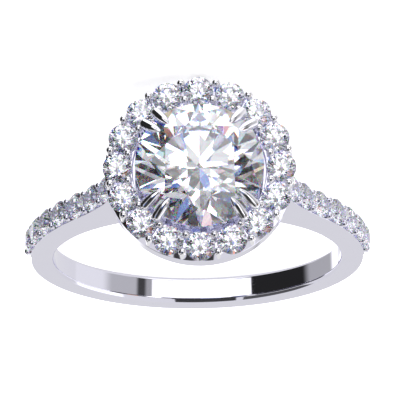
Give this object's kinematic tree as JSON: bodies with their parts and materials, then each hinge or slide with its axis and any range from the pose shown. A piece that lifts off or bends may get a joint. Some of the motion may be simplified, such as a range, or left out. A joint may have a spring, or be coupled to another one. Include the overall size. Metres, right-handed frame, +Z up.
{
  "type": "halo ring",
  "caption": "Finger ring lying on its side: a round brilliant in paired claws inside a ring of small brilliants, on a narrow band with stone-set shoulders.",
  "frame": {"origin": "middle of the bounding box, on the surface that the ring rests on", "axes": "+Z up from the surface, the head towards -Y, +X across the finger hole. The finger hole's axis leans 10.2 degrees from +Z towards +Y"},
  "size_m": [0.0192, 0.025, 0.0097],
  "materials": {
    "white_gold": "high polish",
    "diamond": "faceted and polished"
  },
  "bodies": {
    "root": {"mounting": "white_gold", "centre_stone": "diamond", "halo_stone_01": "diamond", "halo_stone_02": "diamond", "halo_stone_03": "diamond", "halo_stone_04": "diamond", "halo_stone_05": "diamond", "halo_stone_06": "diamond", "halo_stone_07": "diamond", "halo_stone_08": "diamond", "halo_stone_09": "diamond", "halo_stone_10": "diamond", "halo_stone_11": "diamond", "halo_stone_12": "diamond", "halo_stone_13": "diamond", "halo_stone_14": "diamond", "halo_stone_15": "diamond", "halo_stone_16": "diamond", "left_stone_01": "diamond", "left_stone_02": "diamond", "left_stone_03": "diamond", "left_stone_04": "diamond", "left_stone_05": "diamond", "left_stone_06": "diamond", "left_stone_07": "diamond", "right_stone_01": "diamond", "right_stone_02": "diamond", "right_stone_03": "diamond", "right_stone_04": "diamond", "right_stone_05": "diamond", "right_stone_06": "diamond", "right_stone_07": "diamond"}
  },
  "joints": []
}
